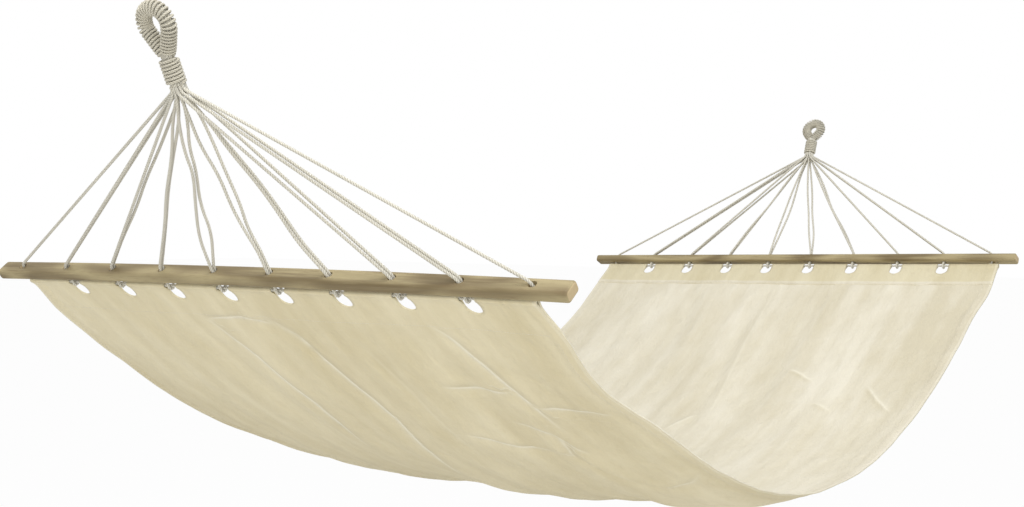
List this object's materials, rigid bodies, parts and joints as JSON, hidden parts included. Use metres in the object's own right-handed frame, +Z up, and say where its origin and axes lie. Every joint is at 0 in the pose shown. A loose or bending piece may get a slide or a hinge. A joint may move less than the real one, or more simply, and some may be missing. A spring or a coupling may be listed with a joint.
{
  "type": "hammock",
  "caption": "Cotton canvas hammock held wide by wooden spreader bars, hung by a served eye where the cords of each end gather.",
  "frame": {"origin": "the seat of the hook inside the head eye, at the top of the eye's hole", "axes": "+Y along the bed from the head end to the foot end, +Z up, +X along the bars to the right as seen from the head"},
  "size_m": [1.0005, 2.0054, 0.7293],
  "materials": {
    "canvas": "matt natural cotton canvas",
    "cord": "twisted natural cotton cord",
    "wood": "thin matt oil on pine"
  },
  "bodies": {
    "bed": {"bed_cloth": "canvas"},
    "head_fan": {"head_spreader_bar": "wood", "head_hem_cord": "cord", "head_cord_2": "cord", "head_cord_3": "cord", "head_cord_4": "cord", "head_cord_5": "cord", "head_cord_6": "cord", "head_cord_7": "cord", "head_cord_8": "cord", "head_cord_9": "cord", "head_eye_core": "cord", "head_eye_serving": "cord", "head_throat_whipping": "cord"},
    "foot_fan": {"foot_spreader_bar": "wood", "foot_hem_cord": "cord", "foot_cord_2": "cord", "foot_cord_3": "cord", "foot_cord_4": "cord", "foot_cord_5": "cord", "foot_cord_6": "cord", "foot_cord_7": "cord", "foot_cord_8": "cord", "foot_cord_9": "cord", "foot_eye_core": "cord", "foot_eye_serving": "cord", "foot_throat_whipping": "cord"}
  },
  "joints": [
    {"name": "head_fan_fold", "type": "hinge", "parent": "bed", "child": "head_fan", "pos_m": [0, 0.16264, -0.33172], "axis": [-1, 0, 0], "range_deg": [0, 110]},
    {"name": "foot_fan_fold", "type": "hinge", "parent": "bed", "child": "foot_fan", "pos_m": [0, 1.82664, -0.33172], "axis": [0.9998, 0, 0.0209], "range_deg": [0, 93]}
  ]
}
